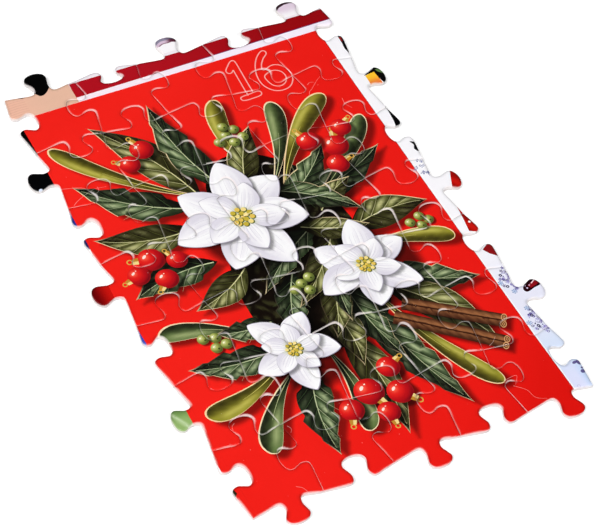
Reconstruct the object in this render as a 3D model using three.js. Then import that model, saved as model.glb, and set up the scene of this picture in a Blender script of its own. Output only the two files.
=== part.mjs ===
// One day's section of a jigsaw puzzle calendar: a flat field of die-cut cardboard pieces, each with two
// knobs and two sockets, laid knob in socket. Millimetres, +Z up. X runs along a row of pieces, and Y up the
// picture. The origin is on the underside, at the middle of the whole section's box.

import * as THREE from 'three';

// The field of pieces.
const rows = 7;
const columns = 5;
const pitchAcross = 18.8;
const pitchUp = 20.0;

// The board, and the narrow slit that the cutting rule leaves between two pieces.
const boardThickness = 1.5;
const seamGap = 0.3;

// One knob of average height, measured from the straight line between the seam's two ends.
const knobHeight = 5.5;
const knobHeadWidth = 6.2;
const knobHeadHeight = 3.6;
const knobNeckWidth = 4.3;
const knobNeckHeight = 0.9;

// The seam bows away from its knob before it turns up into the neck, and that bend is the lip.
const lipBow = 1.0;
const lipRun = 1.5;

// The cutting rule is bent by hand, so no two knobs are quite alike. They lean to either side by up to this.
const knobLean = 0.3;
const knobLeans = 7;
const leanStrideDown = 5;
const leanStrideAcross = 3;

// How many straight steps draw each stretch of half a seam, from its end to the knob's tip.
const approachSteps = 2;
const lipSteps = 2;
const neckSteps = 2;
const headSteps = 3;

// The corners where four pieces meet are off the even grid by these shares of a pitch, row by row from the
// top.
const cornerShiftAcrossShares = [
  [-0.01, 0.035, 0, 0.06, -0.005, 0.05],
  [0, 0, 0.015, 0.01, 0.01, -0.005],
  [0, -0.03, 0.015, -0.015, -0.025, -0.03],
  [-0.005, -0.04, -0.04, 0, 0.01, -0.035],
  [-0.005, -0.02, -0.04, 0.01, 0, -0.035],
  [0.03, -0.035, -0.025, 0.01, 0.015, -0.005],
  [0.025, -0.025, -0.025, 0.025, -0.02, 0.005],
  [0.045, 0.015, 0.025, 0.01, -0.005, 0.025],
];
const cornerShiftUpShares = [
  [0, -0.015, -0.02, -0.015, 0, 0.035],
  [-0.01, -0.005, 0, -0.01, 0.005, 0.015],
  [-0.01, 0, 0.01, 0.015, 0, 0.005],
  [0.01, 0.015, 0, 0.005, 0.005, 0.015],
  [-0.02, -0.005, 0, 0, -0.005, -0.015],
  [0, 0.025, 0.02, 0.015, 0.015, 0.01],
  [0, 0.005, 0.005, -0.01, -0.015, -0.025],
  [0, -0.005, 0.005, 0.01, -0.03, -0.015],
];

// Where each knob stands along its seam, as a share of the seam's length: from the left on the seams that run
// across, row by row from the top, and from the bottom on the seams that run up, column by column.
const acrossKnobShares = [
  [0.54, 0.54, 0.54, 0.56, 0.55],
  [0.57, 0.55, 0.56, 0.57, 0.55],
  [0.56, 0.565, 0.58, 0.58, 0.57],
  [0.58, 0.555, 0.57, 0.565, 0.565],
  [0.54, 0.575, 0.57, 0.54, 0.575],
  [0.575, 0.57, 0.55, 0.555, 0.56],
  [0.545, 0.56, 0.565, 0.57, 0.565],
  [0.555, 0.54, 0.56, 0.555, 0.555],
];
const upKnobShares = [
  [0.535, 0.54, 0.565, 0.575, 0.565, 0.525, 0.56],
  [0.54, 0.58, 0.56, 0.54, 0.57, 0.54, 0.545],
  [0.58, 0.57, 0.55, 0.545, 0.565, 0.56, 0.555],
  [0.555, 0.56, 0.55, 0.54, 0.55, 0.56, 0.58],
  [0.565, 0.555, 0.555, 0.54, 0.545, 0.565, 0.58],
  [0.545, 0.56, 0.54, 0.55, 0.54, 0.55, 0.56],
];

// How tall each knob is beside the average one, in the same order.
const acrossHeightShares = [
  [1.14, 0.74, 1.16, 0.88, 1.05],
  [1.02, 1.06, 0.96, 0.98, 1],
  [1.06, 0.97, 1.1, 1, 1.02],
  [0.9, 1.04, 0.96, 1.04, 1.12],
  [1.08, 0.94, 1.02, 1.02, 1.15],
  [1.04, 0.97, 1.05, 1.05, 1.08],
  [1.06, 1.02, 1, 0.97, 1.12],
  [0.94, 1.05, 1.03, 0.97, 1.06],
];
const upHeightShares = [
  [0.9, 1.06, 0.9, 1.1, 0.85, 0.9, 0.9],
  [0.98, 1.08, 0.86, 0.9, 0.86, 0.95, 0.94],
  [0.94, 0.97, 0.96, 0.92, 0.85, 0.88, 0.94],
  [0.98, 1, 0.86, 1.02, 1, 0.9, 0.93],
  [0.97, 0.98, 1.02, 0.98, 0.96, 1.04, 0.97],
  [0.92, 1, 0.86, 1.02, 0.92, 1.06, 0.82],
];

// How far each bend's two handles reach, as shares of the stretch that the bend spans.
const approachHandleShare = 0.4;
const lipHandleShare = 0.7;
const neckHandleShare = 0.45;
const headHandleShare = 0.75;
const tipHandleShare = 0.55;

// Print on the face: mostly red, with a dark red band along the top row and dark greens in the middle.
const redPrint = { color: 0xe8170f, roughness: 0.35, metalness: 0 };
const darkRedPrint = { color: 0x970a14, roughness: 0.35, metalness: 0 };
const greenPrint = { color: 0x33462a, roughness: 0.35, metalness: 0 };

// A repeating table look-up, so that a larger field reuses the same hand-bent rules.
const pick = (table, i, j) => table[i % table.length][j % table[0].length];

// A steady but irregular lean for each seam, evenly spread from one side to the other.
function leanOf(i, j) {
  const step = (i * leanStrideDown + j * leanStrideAcross) % knobLeans;
  return knobLean * ((2 * step) / (knobLeans - 1) - 1);
}

function cornerPoint(row, column) {
  const across = column - columns / 2 + pick(cornerShiftAcrossShares, row, column);
  const up = rows / 2 - row + pick(cornerShiftUpShares, row, column);
  return new THREE.Vector2(across * pitchAcross, up * pitchUp);
}

// A seam from one corner to the next, as a list of points. The knob stands to the left of the way it runs if
// side is 1, and to the right if it is -1.
function seamPoints(from, to, side, knobShare, heightShare, lean) {
  const along = to.clone().sub(from);
  const length = along.length();
  along.normalize();
  const outward = new THREE.Vector2(-along.y, along.x).multiplyScalar(side);
  const centre = length * knobShare;
  const neckHeight = knobNeckHeight * heightShare;
  const headHeight = knobHeadHeight * heightShare;
  const height = knobHeight * heightShare;
  const place = (run, rise) => from.clone().addScaledVector(along, run).addScaledVector(outward, rise);

  const half = (direction, end) => {
    const neck = (direction * knobNeckWidth) / 2;
    const head = (direction * knobHeadWidth) / 2 + lean;
    const lip = neck + direction * lipRun;
    const approach = end - (centre + lip);
    const bends = [
      {
        steps: approachSteps,
        points: [
          [end, 0],
          [end - approach * approachHandleShare, 0],
          [centre + lip + approach * approachHandleShare, -lipBow],
          [centre + lip, -lipBow],
        ],
      },
      {
        steps: lipSteps,
        points: [
          [centre + lip, -lipBow],
          [centre + lip + (neck - lip) * lipHandleShare, -lipBow],
          [centre + neck, neckHeight - (neckHeight + lipBow) * lipHandleShare],
          [centre + neck, neckHeight],
        ],
      },
      {
        steps: neckSteps,
        points: [
          [centre + neck, neckHeight],
          [centre + neck, neckHeight + (headHeight - neckHeight) * neckHandleShare],
          [centre + head, headHeight - (headHeight - neckHeight) * neckHandleShare],
          [centre + head, headHeight],
        ],
      },
      {
        steps: headSteps,
        points: [
          [centre + head, headHeight],
          [centre + head, headHeight + (height - headHeight) * headHandleShare],
          [centre + head * (1 - tipHandleShare), height],
          [centre + lean, height],
        ],
      },
    ];
    const drawn = [place(end, 0)];
    for (const bend of bends) {
      const curve = new THREE.CubicBezierCurve(...bend.points.map(([run, rise]) => place(run, rise)));
      drawn.push(...curve.getPoints(bend.steps).slice(1));
    }
    return drawn;
  };

  const near = half(-1, 0);
  const far = half(1, length).reverse();
  return [...near, ...far.slice(1)];
}

// Seams that run across. The piece below a seam has the knob, pointing up, on every other seam.
const acrossSeams = [];
for (let line = 0; line <= rows; line += 1) {
  acrossSeams.push([]);
  for (let column = 0; column < columns; column += 1) {
    const side = (line + column) % 2 === 0 ? 1 : -1;
    const knobShare = pick(acrossKnobShares, line, column);
    const heightShare = pick(acrossHeightShares, line, column);
    const left = cornerPoint(line, column);
    const right = cornerPoint(line, column + 1);
    acrossSeams[line].push(seamPoints(left, right, side, knobShare, heightShare, leanOf(line, column)));
  }
}

// Seams that run up. The piece on the right of a seam has the knob, pointing left, on every other seam.
const upSeams = [];
for (let line = 0; line <= columns; line += 1) {
  upSeams.push([]);
  for (let row = 0; row < rows; row += 1) {
    const side = (line + row) % 2 === 1 ? 1 : -1;
    const knobShare = pick(upKnobShares, line, row);
    const heightShare = pick(upHeightShares, line, row);
    const bottom = cornerPoint(row + 1, line);
    const top = cornerPoint(row, line);
    upSeams[line].push(seamPoints(bottom, top, side, knobShare, heightShare, leanOf(row, line)));
  }
}

// Moves a closed anticlockwise loop inwards by a distance, with mitred corners.
function insetLoop(loop, distance) {
  return loop.map((point, i) => {
    const before = loop[(i + loop.length - 1) % loop.length];
    const after = loop[(i + 1) % loop.length];
    const arriving = point.clone().sub(before).normalize();
    const leaving = after.clone().sub(point).normalize();
    const inwards = new THREE.Vector2(-arriving.y - leaving.y, arriving.x + leaving.x);
    const stretch = 1 + arriving.dot(leaving);
    return point.clone().addScaledVector(inwards, distance / stretch);
  });
}

function pieceOutline(row, column) {
  const bottom = acrossSeams[row + 1][column];
  const right = upSeams[column + 1][row];
  const top = acrossSeams[row][column].slice().reverse();
  const left = upSeams[column][row].slice().reverse();
  const loop = [...bottom, ...right.slice(1), ...top.slice(1), ...left.slice(1, -1)];
  return insetLoop(loop, seamGap / 2);
}

function printOf(row, column) {
  if (row === 0) return darkRedPrint;
  const inMiddle = row > 1 && row < rows - 1 && column > 0 && column < columns - 1;
  return inMiddle ? greenPrint : redPrint;
}

function cellCentre(row, column) {
  const across = (column - (columns - 1) / 2) * pitchAcross;
  const up = ((rows - 1) / 2 - row) * pitchUp;
  return new THREE.Vector2(across, up);
}

// One piece: its outline, cut straight through the board. The mesh stands at the centre of its cell.
function makePiece(row, column) {
  const centre = cellCentre(row, column);
  const shape = new THREE.Shape(pieceOutline(row, column).map((point) => point.sub(centre)));
  const geometry = new THREE.ExtrudeGeometry(shape, { depth: boardThickness, bevelEnabled: false });
  const piece = new THREE.Mesh(geometry, new THREE.MeshStandardMaterial(printOf(row, column)));
  piece.name = `piece_r${row + 1}_c${column + 1}`;
  piece.position.set(centre.x, centre.y, 0);
  return piece;
}

const section = new THREE.Group();
for (let row = 0; row < rows; row += 1) {
  for (let column = 0; column < columns; column += 1) {
    section.add(makePiece(row, column));
  }
}

// The knobs on the rim make the box lopsided, so the section is shifted to put the box's middle at the
// origin.
section.updateMatrixWorld(true);
const boxCentre = new THREE.Box3().setFromObject(section).getCenter(new THREE.Vector3());
section.position.set(-boxCentre.x, -boxCentre.y, 0);

const calendar = new THREE.Group();
calendar.add(section);

export default calendar;
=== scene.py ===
# %% [markdown]
# # A section of a puzzle advent calendar
# This file dresses 35 die-cut jigsaw pieces that come from a CAD model. Each piece
# is pressed board: a glossy printed sheet on top, a thick white core, and a plain
# backing sheet. The CAD gives every outline and place, and each piece only gets the
# little play that a loose piece has. This file adds what the knife and the printing
# press leave behind: rolled rims, bare edges, cut fibres, and a picture that runs
# across all the seams.

# %% load the frame
import math

import bpy
import numpy as np
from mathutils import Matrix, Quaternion, Vector
from mathutils.geometry import delaunay_2d_cdt, tessellate_polygon


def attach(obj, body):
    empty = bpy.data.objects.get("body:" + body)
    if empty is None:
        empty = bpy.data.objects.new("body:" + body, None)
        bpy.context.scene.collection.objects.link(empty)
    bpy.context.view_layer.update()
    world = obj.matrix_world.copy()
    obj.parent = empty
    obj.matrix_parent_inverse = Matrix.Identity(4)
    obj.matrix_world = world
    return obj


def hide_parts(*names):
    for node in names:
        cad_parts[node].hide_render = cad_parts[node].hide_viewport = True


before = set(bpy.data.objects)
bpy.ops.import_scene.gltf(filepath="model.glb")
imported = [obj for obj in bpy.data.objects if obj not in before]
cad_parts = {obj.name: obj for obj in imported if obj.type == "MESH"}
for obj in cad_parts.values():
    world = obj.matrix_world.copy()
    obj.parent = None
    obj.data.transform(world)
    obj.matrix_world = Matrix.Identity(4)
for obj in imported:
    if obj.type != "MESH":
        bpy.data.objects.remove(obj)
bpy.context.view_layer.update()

print("pieces in the frame:", len(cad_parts))

# %% [markdown]
# ## Units and the grid
# The frame is in metres, but board and ink are easier to think about in millimetres,
# so all drawing here is in millimetres and one factor turns it into metres at the
# end. The print was never quite square to the knife, so the picture has its own
# axes, turned a little against the grid of pieces.

# %% units, grid and the print's own axes
MM = 0.001
pitch_across, pitch_up = 18.8, 20.0
rows, columns = 7, 5
board_thickness = 1.5
sheet_shift = np.array([0.163, 0.048])
print_turn = math.radians(0.6)
print_axes = np.array([[math.cos(print_turn), math.sin(print_turn)],
                       [-math.sin(print_turn), math.cos(print_turn)]])


def to_board(points):
    """Points of the picture, placed on the board."""
    return np.asarray(points, float) @ print_axes + sheet_shift


def to_picture(points):
    """Points of the board, read in the picture's own axes."""
    return (np.asarray(points, float) - sheet_shift) @ print_axes.T


print("picture turned by", round(math.degrees(print_turn), 2), "degrees")

# %% [markdown]
# ## Colours
# Ink colours are written as sRGB hex, the way a printer or a screen names them.
# Blending is done on those values too, because even steps there look even to the
# eye. One function turns them into the linear light that the renderer needs.

# %% colour helpers
def srgb(code):
    """An sRGB hex colour as three numbers from 0 to 1."""
    return np.array([int(code[i:i + 2], 16) / 255 for i in (1, 3, 5)])


def to_linear(colour):
    """sRGB values turned into linear light."""
    colour = np.clip(colour, 0, 1)
    return np.where(colour <= 0.04045, colour / 12.92, ((colour + 0.055) / 1.055) ** 2.4)


def linear_rgba(code):
    """A hex colour, ready for a shader socket."""
    return (*to_linear(srgb(code)).tolist(), 1.0)


def blend_inks(first, second, share):
    """Mixes two colours, where share is how much there is of the second."""
    share = np.clip(np.asarray(share, float), 0, 1)[..., None]
    return first * (1 - share) + second * share


def ease(value, low, high):
    """Runs smoothly from 0 at low to 1 at high."""
    t = np.clip((value - low) / (high - low), 0, 1)
    return t * t * (3 - 2 * t)


print("poppy red in linear light:", [round(v, 3) for v in linear_rgba("#F01A16")[:3]])

# %% [markdown]
# ## The picture as a stack of inks
# A picture could be an image, but then its edges would blur when someone looks
# closely. Here it is a stack of outlines with a colour rule each, laid down in
# order like inks on a press. The outlines later become edges of the mesh, so they
# stay as crisp as print, and the colour rule is worked out at every mesh corner.

# %% the stack and the rule for what lies inside an outline
stack = []


def lay_ink(outline, colour, *holes):
    """Adds one printed shape. colour is a hex code, or a rule of (points, colour below)."""
    loops = [np.asarray(loop, float) for loop in (outline, *holes)]
    if isinstance(colour, str):
        flat = srgb(colour)
        rule = lambda points, below: np.broadcast_to(flat, below.shape)
    else:
        rule = colour
    everything = np.concatenate(loops)
    stack.append({"loops": loops, "rule": rule,
                  "low": everything.min(0), "high": everything.max(0)})


def blend_rule(code, share):
    """A rule that lays a see-through ink over what is there."""
    return lambda points, below: blend_inks(below, srgb(code), share)


def is_inside(points, loops):
    """True for each point inside an odd number of the loops."""
    inside = np.zeros(len(points), bool)
    x, y = points[:, :1], points[:, 1:]
    for loop in loops:
        ends = np.roll(loop, -1, 0)
        crosses = (loop[:, 1] > y) != (ends[:, 1] > y)
        rise = np.where(ends[:, 1] == loop[:, 1], 1e-9, ends[:, 1] - loop[:, 1])
        reach = loop[:, 0] + (ends[:, 0] - loop[:, 0]) * (y - loop[:, 1]) / rise
        inside ^= (crosses & (x < reach)).sum(1) % 2 == 1
    return inside


def distance_to(line, points):
    """How far points are from a closed line, and which of its edges is nearest."""
    starts, ends = line, np.roll(line, -1, 0)
    best, nearest = np.full(len(points), 1e9), np.zeros(len(points), int)
    run = ends - starts
    length = (run ** 2).sum(1)
    for number in range(len(starts)):
        offset = points - starts[number]
        share = np.clip(offset @ run[number] / length[number], 0, 1)
        away = np.linalg.norm(offset - share[:, None] * run[number], axis=1)
        closer = away < best
        best[closer], nearest[closer] = away[closer], number
    return best, nearest


def paint(corners):
    """Colours of mesh corners, given as triangles of picture points."""
    middles = corners.mean(1)
    colours = np.empty(corners.shape[:2] + (3,))
    colours[:] = srgb("#F7F4F8")
    low, high = corners.min((0, 1)), corners.max((0, 1))
    for shape in stack:
        if (shape["low"] > high).any() or (shape["high"] < low).any():
            continue
        near = ((middles >= shape["low"]) & (middles <= shape["high"])).all(1)
        chosen = np.flatnonzero(near)
        chosen = chosen[is_inside(middles[chosen], shape["loops"])]
        if len(chosen):
            flat_points = corners[chosen].reshape(-1, 2)
            below = colours[chosen].reshape(-1, 3)
            colours[chosen] = shape["rule"](flat_points, below).reshape(-1, 3, 3)
    return colours


print("an empty stack prints bare paper")

# %% [markdown]
# ## Shapes that the picture is drawn with
# Four outlines do most of the drawing: an oval, a leaf that bends, a drawn line of
# some width, and a smooth loop through a few points. A leaf's width along its
# length is a small formula, which gives pointed leaves, spoon-shaped leaves and
# petals from the same function.

# %% ovals, smooth loops and drawn lines
def oval(centre, across, up=None, turn=0.0, count=36):
    """A closed oval."""
    up = across if up is None else up
    angle = np.linspace(0, 2 * math.pi, count, endpoint=False)
    x, y = across * np.cos(angle), up * np.sin(angle)
    c, s = math.cos(turn), math.sin(turn)
    return np.stack([centre[0] + c * x - s * y, centre[1] + s * x + c * y], 1)


def smooth_run(points, steps=4, closed=True):
    """A smooth curve through the points, a cubic from each one to the next."""
    points = np.asarray(points, float)
    if closed:
        before, starts = np.roll(points, 1, 0), points
        after, last = np.roll(points, -1, 0), np.roll(points, -2, 0)
    else:
        lead_in, lead_out = 2 * points[:1] - points[1:2], 2 * points[-1:] - points[-2:-1]
        padded = np.concatenate([lead_in, points, lead_out])
        before, starts, after, last = padded[:-3], padded[1:-2], padded[2:-1], padded[3:]
    t = np.arange(steps)[None, :, None] / steps
    a, b, c, d = (p[:, None, :] for p in (before, starts, after, last))
    curve = 0.5 * (2 * b + (c - a) * t + (2 * a - 5 * b + 4 * c - d) * t ** 2
                   + (3 * b - a - 3 * c + d) * t ** 3)
    curve = curve.reshape(-1, 2)
    return curve if closed else np.concatenate([curve, points[-1:]])


def drawn_line(points, width, taper=0.0):
    """The outline of a line drawn through points, narrowing by taper towards its end."""
    points = np.asarray(points, float)
    along = np.gradient(points, axis=0)
    along /= np.maximum(np.linalg.norm(along, axis=1, keepdims=True), 1e-9)
    side = np.stack([-along[:, 1], along[:, 0]], 1)
    half = width / 2 * (1 - taper * np.linspace(0, 1, len(points)))[:, None]
    return np.concatenate([points + side * half, (points - side * half)[::-1]])


print("an oval has", len(oval((0, 0), 1)), "points")

# %% leaves and petals
def pointed(t):
    """Widest near the middle, with a drawn-out tip."""
    return np.sin(math.pi * t ** 0.85) ** 1.15


def scalloped(t):
    """A pointed leaf whose edge runs out into shallow teeth."""
    return pointed(t) * (0.76 + 0.3 * (1 - np.mod(3.6 * t + 0.1, 1)) ** 0.8)


def spoon(t):
    """Narrow at the stalk and round at the far end."""
    return (0.12 + 0.88 * t ** 1.15) * np.sqrt(np.clip(1 - t ** 7, 0, 1)) * 1.05


def petal(t):
    """Broad, with a short point."""
    return np.sin(math.pi * np.clip(t, 0, 1) ** 0.9) ** 0.72


def leaf_axes(base, tip):
    """A leaf's start, its length, and its directions along and across."""
    base, tip = np.asarray(base, float), np.asarray(tip, float)
    length = np.linalg.norm(tip - base)
    along = (tip - base) / length
    return base, length, along, np.array([-along[1], along[0]])


def leaf_outline(base, tip, width, bend, form, count=30, rim=0.0):
    """A leaf's closed outline, drawn in by rim all round."""
    start, length, along, across = leaf_axes(base, tip)
    t = 0.5 - 0.5 * np.cos(np.linspace(0, math.pi, count))
    spine = start + np.outer(length * (rim / length + t * (1 - 2.6 * rim / length)), along)
    spine += np.outer(bend * 4 * t * (1 - t), across)
    half = np.maximum(width / 2 * form(t) - rim, 0.02)
    side = np.outer(half, across)
    return np.concatenate([spine + side, (spine - side)[::-1]])


def leaf_place(points, base, tip, width, bend):
    """How far along a leaf each point is, from 0 to 1, and how far across, from -1 to 1."""
    start, length, along, across = leaf_axes(base, tip)
    t = (points - start) @ along / length
    n = ((points - start) @ across - bend * 4 * t * (1 - t)) / (width / 2)
    return t, n


print("a leaf outline has", len(leaf_outline((0, 0), (10, 0), 4, 0, pointed)), "points")

# %% [markdown]
# ## Ground and margins
# The red ground is a solid ink and covers most of the section. Above it the
# neighbouring pictures begin: a white gap, a dark red band, and a peach patch. On
# the right there is a white margin that fades to a pale frosty blue. Thin slivers
# of other inks show where the knife landed just outside the ground.

# %% the red ground
def rectangle(left, foot, right, top):
    """A rectangle's four corners."""
    return np.array([(left, foot), (right, foot), (right, top), (left, top)], float)


ground_left = [(-46.2, 62.4), (-46.3, 50.0), (-46.6, 41.0), (-47.0, 26.0), (-47.2, 18.0),
               (-48.8, -6.0), (-47.45, -8.8), (-47.4, -16.4), (-48.6, -17.4), (-47.5, -36.0),
               (-47.7, -42.0), (-47.9, -82.0)]
ground_right = [(41.5, -82.0), (41.7, -51.0), (42.1, -15.0), (42.5, 5.0), (43.1, 38.0),
                (43.65, 62.5)]


def red_ground(points, below):
    """Poppy red, brighter to the upper left as painted light, with cloudy patches, and a shade
    deeper to the right.
    """
    x, y = points.T
    cloud = 0.5 + 0.5 * np.sin(x * 0.11 + 1.3 * np.sin(y * 0.07)) * np.cos(y * 0.09)
    # brighter to the upper left: painted light
    red = blend_inks(srgb("#F8241C"), srgb("#EB1A14"), ease(x - 0.4 * y, -60, 60))
    red = blend_inks(red, srgb("#E41811"), 0.35 * cloud)
    return blend_inks(red, srgb("#DC130D"), ease(x - y, 72, 112))


print("ground edges:", len(ground_left), "and", len(ground_right), "points")

# %% the band and the patch along the top
def band_red(points, below):
    """The dark red of the next picture's foot."""
    return blend_inks(srgb("#B0101E"), srgb("#96080F"), ease(points[:, 0], -10, 44))


def frosted_gap(points, below):
    """The unprinted strip, faintly violet from the ink around it."""
    return blend_inks(srgb("#FDECF5"), srgb("#F8EFFB"), ease(points[:, 0], -30, 30))


def peach(points, below):
    """A flat flesh tint, pinker at its outer end."""
    return blend_inks(srgb("#F0BBA2"), srgb("#E8BAA1"), ease(points[:, 0], -48, -34))


def knob_tint(points, below):
    """White that turns a faint violet towards the top of a knob."""
    return blend_inks(srgb("#FBF8FB"), srgb("#E2CFE0"), ease(points[:, 1], 70.6, 73.6))


def plum_arc(points, below):
    """A lilac arc that darkens to plum on its right."""
    return blend_inks(srgb("#DCC2D8"), srgb("#4E1E2E"), ease(points[:, 0], 2.2, 4.4))


def violet_fringe(points, below):
    """Where two inks overlap by a hair along the band's foot, more so on the right."""
    return blend_inks(below, srgb("#6E1860"), 0.75 * ease(points[:, 0], -12, 22))


lay_ink(rectangle(-60, 62.3, 60, 82), "#F6EDF3")
lay_ink(rectangle(-29.0, 62.3, 60, 65.2), frosted_gap)
lay_ink([(-28.9, 64.1), (60, 65.3), (60, 69.6), (44, 69.5), (-28.6, 69.25)], band_red)
lay_ink(drawn_line([(-28.9, 64.15), (60, 65.35)], 0.3), violet_fringe)
lay_ink(rectangle(30, 70.2, 52, 80), knob_tint)
lay_ink(rectangle(-4, 70.4, 8, 80), "#FEFBFE")
cap_foot = smooth_run([(-1.6, 72.3), (0.0, 73.2), (1.4, 73.75), (2.9, 73.7), (4.0, 73.75),
                       (5.0, 73.4), (6.4, 72.6)], 4, closed=False)
lay_ink([*cap_foot, (6.4, 77.0), (-2.0, 77.0)], plum_arc)
lay_ink(drawn_line(cap_foot + np.array([-0.1, 1.5]), 0.9), blend_rule("#70748C", 0.65))
lay_ink(drawn_line(cap_foot[4:-4], 0.34), blend_rule("#5A2436", 0.6))
lay_ink([(36.5, 73.3), (36.5, 77), (43.6, 77), (43.6, 74.5), (42.5, 74.5), (41.5, 74.8),
         (39.6, 74.8), (37.7, 74.2)], "#402832")
lay_ink(rectangle(-60, 62.3, -28.75, 82), peach)
lay_ink(smooth_run([(-42.9, 69.6), (-38.8, 69.9), (-37.0, 68.2), (-34.6, 69.4), (-32.4, 73),
                    (-32, 78), (-40, 80), (-44, 76)]), "#010101")
for fine in range(7):
    height = 63.9 + 0.8 * fine
    lay_ink(drawn_line([(-47.4, height), (-44.4, height + 0.15), (-41.8, height)], 0.12), "#E0A896")
lay_ink(rectangle(-60, 62.25, -28.75, 62.45), "#FBE3DA")
print("inks laid:", len(stack))

# %% slivers down the left edge
def left_patch(foot, top, first, second):
    """A patch of another picture's ink, left of the ground."""
    def rule(points, below):
        return blend_inks(srgb(first), srgb(second), ease(points[:, 1], foot, top))
    lay_ink(rectangle(-60, foot, -46, top), rule)


def plum_knob(points, below):
    """Dark red that brightens until it is the ground's own red."""
    return blend_inks(srgb("#6A0004"), srgb("#C8120C"), ease(points[:, 0], -52.8, -48.6))


def sap_green(points, below):
    """Pale green with a lighter streak."""
    streak = np.exp(-((points[:, 0] + points[:, 1] * 0.5 + 69.6) / 0.5) ** 2)
    leaf = blend_inks(srgb("#94B46C"), srgb("#6A8E4C"), ease(points[:, 1], -39.5, -36))
    return blend_inks(leaf, srgb("#D5E6BE"), 0.8 * streak)


left_patch(-82, 62.3, "#F6EDF0", "#F6EDF0")
left_patch(29.6, 62.3, "#020204", "#010101")
left_patch(22.0, 29.6, "#2B3BA4", "#1B2260")
left_patch(16.0, 22.0, "#141B4C", "#26349A")
left_patch(-30.0, -6.0, "#4A57BE", "#3A47B0")
lay_ink(oval((-50.5, 38.4), 0.5, 0.42), "#D4E0F6")
lay_ink(rectangle(-60, -6.0, -46, 8.0), plum_knob)
lay_ink(smooth_run([(-53.2, -1.4), (-51.4, -3.2), (-49.6, -2.6), (-50.6, -4.2), (-53, -4)]),
        "#5A2A78")
lay_ink(rectangle(-60, -46.0, -46, -32.0), sap_green)
lay_ink(np.array(ground_left + ground_right), red_ground)
print("inks laid:", len(stack))

# %% the margin down the right side
def frosty_margin(points, below):
    """White at the top, then a violet tint, then the blue of thin ice."""
    y = points[:, 1]
    tint = blend_inks(srgb("#FBF9FD"), srgb("#E9E9F8"), ease(-y, 20, 38))
    tint = blend_inks(tint, srgb("#D8E4FA"), ease(-y, 46, 58))
    ice = blend_inks(srgb("#DEE2FC"), srgb("#C9DCFB"), ease(points[:, 0], 44.5, 47))
    return blend_inks(tint, ice, ease(-y, 60, 67))


def shaded_red(points, below):
    """Dark red with a brighter belly."""
    belly = 0.5 + 0.5 * np.sin(points[:, 0] * 1.3 + points[:, 1] * 0.9)
    return blend_inks(srgb("#960A06"), srgb("#CC160E"), belly)


def flame(points, below):
    """Yellow running into orange."""
    return blend_inks(srgb("#FFC62E"), srgb("#F0803A"), ease(-points[:, 1], -41.4, -38.6))


lay_ink(np.array(ground_right + [(60, 62.5), (60, -82)]), frosty_margin)
lay_ink([(47.9, 59.4), (50.5, 60), (50.5, 51), (47.5, 51.4), (47.2, 53.3), (47.6, 55.7),
         (47.7, 57.6)], "#070508")
lay_ink([(47.8, 57.8), (48.4, 57.6), (48.1, 56.0), (47.8, 56.2)], "#9A1A1C")
lay_ink(smooth_run([(47.0, 42.2), (50.4, 43.6), (54, 45), (54, 36), (51.2, 37.6), (50.4, 40),
                    (49.8, 42.2)]), "#050406")
lay_ink([(47.3, 42.1), (50.3, 42.5), (50.6, 37.0), (47.0, 37.0)], flame)
lay_ink(leaf_outline((51.0, 43.2), (52.8, 40.8), 1.1, 0.2, pointed), "#5E7F46")
lay_ink([(46.7, 31.4), (49, 31), (49, 21), (45.4, 21.8), (46.0, 24.4), (46.4, 27.7)], "#050406")
lay_ink([(46.1, 16.4), (47.6, 15.6), (47.4, 12.4), (46.4, 12.5), (45.9, 13.6), (46.6, 14.9)],
        "#08060C")
lay_ink([(50.9, 3.6), (54, 4), (54, -5), (50.6, -3.3), (48.2, -2.2), (49.4, 0.4)], shaded_red)
lay_ink([(45.9, -7.6), (50, -9), (50, -18.0), (46.6, -17.8), (44.4, -16.7), (45.2, -12.4)],
        shaded_red)
lay_ink([(44.3, -23.4), (46.4, -22.2), (50, -22), (50, -27.4), (46.9, -26.7), (45.4, -25.3)],
        "#8C1216")
lay_ink(smooth_run([(47.0, -38.8), (47.8, -37.6), (51, -35.6), (54, -36), (52.3, -38.7),
                    (50, -39.2), (47.8, -39.7)], 3), "#24020A")
lay_ink([(48.7, -38.0), (51.3, -36.9), (52.0, -38.3), (49.2, -39.0)], "#8E0E18")
lay_ink(drawn_line([(50.0, -37.7), (51.5, -36.9)], 0.34, 0.4), "#F2D2DA")
for place, size in (((49.2, -38.0), 0.2), ((48.2, -38.6), 0.24), ((48.1, -37.8), 0.16)):
    lay_ink(oval(place, size, count=10), "#D8C4E4")
lay_ink(oval((46.15, -14.05), 0.34), "#FFFFFF")
edge_line = np.array(ground_right)
lay_ink(drawn_line(edge_line[:4] + np.array([0.2, 0.0]), 0.34), blend_rule("#FFFDFD", 0.85))
lay_ink(drawn_line(edge_line + np.array([-0.06, 0.0]), 0.16), blend_rule("#6E140C", 0.5))
lay_ink([(-48.2, -60.3), (-47.6, -60.5), (-47.2, -62.2), (-47.9, -62.9)], "#2A2412")
print("inks laid:", len(stack))

# %% frost specks in the margin
def snow_star(centre, reach, turn, colour, width=0.16):
    """Six arms of frost, each with a pair of barbs."""
    for arm in range(3):
        angle = turn + arm * math.pi / 3
        way = np.array([math.cos(angle), math.sin(angle)])
        across = np.array([-way[1], way[0]])
        middle = np.asarray(centre, float)
        lay_ink(drawn_line([middle - way * reach, middle, middle + way * reach], width), colour)
        for end in (-1, 1):
            joint = middle + way * reach * 0.55 * end
            barb = (way * end + across) * reach * 0.3
            lay_ink(drawn_line([joint, joint + barb], width * 0.8), colour)


def frost_ring(centre, size, colour, hole=0.55):
    """A flake drawn as a small ring."""
    lay_ink(oval(centre, size, count=10), colour, oval(centre, hole * size, count=8))


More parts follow.
